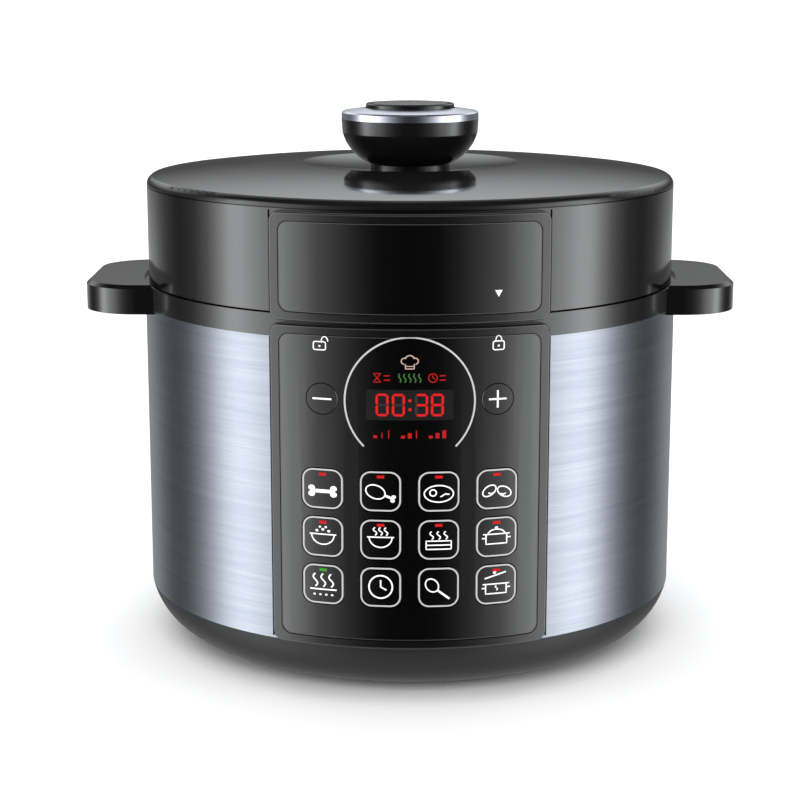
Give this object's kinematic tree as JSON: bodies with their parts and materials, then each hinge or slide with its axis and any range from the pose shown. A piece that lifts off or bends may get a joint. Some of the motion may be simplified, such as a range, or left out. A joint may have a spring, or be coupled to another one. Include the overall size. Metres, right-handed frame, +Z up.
{
  "type": "electric pressure cooker",
  "caption": "Round electric pressure cooker with a turn-and-lift lid, lugged pressure lid and seal, lift-out pot, heating plate, sprung vent button, keypad and rear condensation cup.",
  "frame": {"origin": "on the body's axis, at the surface the foot ring stands on", "axes": "+Z up along the body's axis; the control panel faces -Y; the handles lie along X"},
  "size_m": [0.362, 0.3319, 0.2997],
  "materials": {
    "black_gloss": "glossy black moulded lid cover",
    "black_satin": "satin black moulded plastic",
    "black_glass": "glossy black curved inlay",
    "key_cap": "glossy black key cap with printed outline",
    "brushed_band": "horizontally brushed steel band",
    "bright_trim": "satin metallised ring",
    "pressed_steel": "pressed stainless steel",
    "spring_steel": "spring steel",
    "cast_aluminium": "cast aluminium heating plate",
    "pot_coating": "aluminium pot with dark non-stick coating",
    "valve_steel": "turned steel",
    "seal_silicone": "translucent white silicone",
    "red_silicone": "red silicone",
    "foot_rubber": "black rubber",
    "cup_plastic": "smoked plastic",
    "white_nylon": "white nylon",
    "board_green": "circuit board",
    "display_block": "display block with smoked lens",
    "wire_sleeve": "sleeved wires",
    "zinc_screw": "zinc plated fasteners"
  },
  "bodies": {
    "root": {"foot_ring": "foot_rubber", "base_housing": "black_satin", "bottom_cover": "black_satin", "bottom_screws": "zinc_screw", "outer_shell": "brushed_band", "upper_ring": "black_satin", "outer_pot": "pressed_steel", "heating_plate": "cast_aluminium", "spring_plate": "spring_steel", "sensor_bracket": "pressed_steel", "sensor_spring": "spring_steel", "pressure_switch": "white_nylon", "thermal_fuse": "valve_steel", "power_board": "board_green", "tie_screws": "zinc_screw", "power_inlet": "black_satin", "control_panel_frame": "black_satin", "control_panel_inlay": "black_glass", "display_module": "display_block", "control_board": "board_green", "panel_screws": "zinc_screw", "wiring": "wire_sleeve"},
    "sensor": {"temperature_sensor": "cast_aluminium"},
    "pot": {"inner_pot": "pot_coating"},
    "cup": {"condensation_cup": "cup_plastic"},
    "seal": {"sealing_ring": "seal_silicone"},
    "lid": {"pressure_lid": "pressed_steel", "lid_skirt": "black_satin", "lid_nuts": "zinc_screw", "lid_top_cover": "black_gloss", "lid_fascia_frame": "black_satin", "lid_fascia_inlay": "black_glass", "steam_pipe": "valve_steel", "steam_shield": "pressed_steel", "knob_body": "black_gloss", "knob_screws": "zinc_screw", "knob_trim_ring": "bright_trim", "vent_button_spring": "spring_steel", "rocker_pin": "valve_steel"},
    "button": {"vent_button": "black_gloss"},
    "rocker": {"valve_rocker": "white_nylon"},
    "weight": {"limit_valve": "valve_steel"},
    "float": {"float_valve": "valve_steel", "float_valve_seal": "red_silicone"},
    "key_01": {"key_01": "key_cap"},
    "key_02": {"key_02": "key_cap"},
    "key_03": {"key_03": "key_cap"},
    "key_04": {"key_04": "key_cap"},
    "key_05": {"key_05": "key_cap"},
    "key_06": {"key_06": "key_cap"},
    "key_07": {"key_07": "key_cap"},
    "key_08": {"key_08": "key_cap"},
    "key_09": {"key_09": "key_cap"},
    "key_10": {"key_10": "key_cap"},
    "key_11": {"key_11": "key_cap"},
    "key_12": {"key_12": "key_cap"},
    "key_minus": {"key_minus": "key_cap"},
    "key_plus": {"key_plus": "key_cap"}
  },
  "joints": [
    {"name": "lid_lift", "type": "slide", "parent": "root", "child": "seal", "axis": [0, 0, 1], "range_m": [0, 0.32]},
    {"name": "lid_turn", "type": "hinge", "parent": "seal", "child": "lid", "pos_m": [0, 0, 0.2029], "axis": [0, 0, -1], "range_deg": [0, 34]},
    {"name": "pot_lift", "type": "slide", "parent": "root", "child": "pot", "axis": [0, 0, 1], "range_m": [0, 0.16]},
    {"name": "vent_press", "type": "slide", "parent": "lid", "child": "button", "axis": [0, 0, -1], "range_m": [0, 0.0025], "stiffness_N_per_m": 400, "springref_m": -0.004, "deforming": ["vent_button_spring"]},
    {"name": "rocker_tilt", "type": "hinge", "parent": "lid", "child": "rocker", "pos_m": [0.0145, 0, 0.282], "axis": [0, 1, 0], "range_deg": [0, 18.4]},
    {"name": "weight_lift", "type": "slide", "parent": "lid", "child": "weight", "axis": [0, 0, 1], "range_m": [0, 0.0019]},
    {"name": "float_rise", "type": "slide", "parent": "lid", "child": "float", "axis": [0, 0, 1], "range_m": [0, 0.0045]},
    {"name": "sensor_sink", "type": "slide", "parent": "root", "child": "sensor", "axis": [0, 0, -1], "range_m": [0, 0.002], "stiffness_N_per_m": 600, "springref_m": -0.003, "deforming": ["sensor_spring"]},
    {"name": "cup_pull", "type": "slide", "parent": "root", "child": "cup", "axis": [0, 1, 0], "range_m": [0, 0.03]},
    {"name": "key_01_press", "type": "slide", "parent": "root", "child": "key_01", "axis": [0, 1, 0], "range_m": [0, 0.0006], "stiffness_N_per_m": 1500, "springref_m": -0.0006},
    {"name": "key_02_press", "type": "slide", "parent": "root", "child": "key_02", "axis": [0, 1, 0], "range_m": [0, 0.0006], "stiffness_N_per_m": 1500, "springref_m": -0.0006},
    {"name": "key_03_press", "type": "slide", "parent": "root", "child": "key_03", "axis": [0, 1, 0], "range_m": [0, 0.0006], "stiffness_N_per_m": 1500, "springref_m": -0.0006},
    {"name": "key_04_press", "type": "slide", "parent": "root", "child": "key_04", "axis": [0, 1, 0], "range_m": [0, 0.0006], "stiffness_N_per_m": 1500, "springref_m": -0.0006},
    {"name": "key_05_press", "type": "slide", "parent": "root", "child": "key_05", "axis": [0, 1, 0], "range_m": [0, 0.0006], "stiffness_N_per_m": 1500, "springref_m": -0.0006},
    {"name": "key_06_press", "type": "slide", "parent": "root", "child": "key_06", "axis": [0, 1, 0], "range_m": [0, 0.0006], "stiffness_N_per_m": 1500, "springref_m": -0.0006},
    {"name": "key_07_press", "type": "slide", "parent": "root", "child": "key_07", "axis": [0, 1, 0], "range_m": [0, 0.0006], "stiffness_N_per_m": 1500, "springref_m": -0.0006},
    {"name": "key_08_press", "type": "slide", "parent": "root", "child": "key_08", "axis": [0, 1, 0], "range_m": [0, 0.0006], "stiffness_N_per_m": 1500, "springref_m": -0.0006},
    {"name": "key_09_press", "type": "slide", "parent": "root", "child": "key_09", "axis": [0, 1, 0], "range_m": [0, 0.0006], "stiffness_N_per_m": 1500, "springref_m": -0.0006},
    {"name": "key_10_press", "type": "slide", "parent": "root", "child": "key_10", "axis": [0, 1, 0], "range_m": [0, 0.0006], "stiffness_N_per_m": 1500, "springref_m": -0.0006},
    {"name": "key_11_press", "type": "slide", "parent": "root", "child": "key_11", "axis": [0, 1, 0], "range_m": [0, 0.0006], "stiffness_N_per_m": 1500, "springref_m": -0.0006},
    {"name": "key_12_press", "type": "slide", "parent": "root", "child": "key_12", "axis": [0, 1, 0], "range_m": [0, 0.0006], "stiffness_N_per_m": 1500, "springref_m": -0.0006},
    {"name": "key_minus_press", "type": "slide", "parent": "root", "child": "key_minus", "axis": [0, 1, 0], "range_m": [0, 0.0006], "stiffness_N_per_m": 1500, "springref_m": -0.0006},
    {"name": "key_plus_press", "type": "slide", "parent": "root", "child": "key_plus", "axis": [0, 1, 0], "range_m": [0, 0.0006], "stiffness_N_per_m": 1500, "springref_m": -0.0006}
  ],
  "couplings": [
    {"joint": "pot_lift", "follows": "lid_lift", "ratio": 0.5},
    {"joint": "rocker_tilt", "follows": "vent_press", "rad_per_m": 128},
    {"joint": "weight_lift", "follows": "vent_press", "ratio": 0.76}
  ]
}
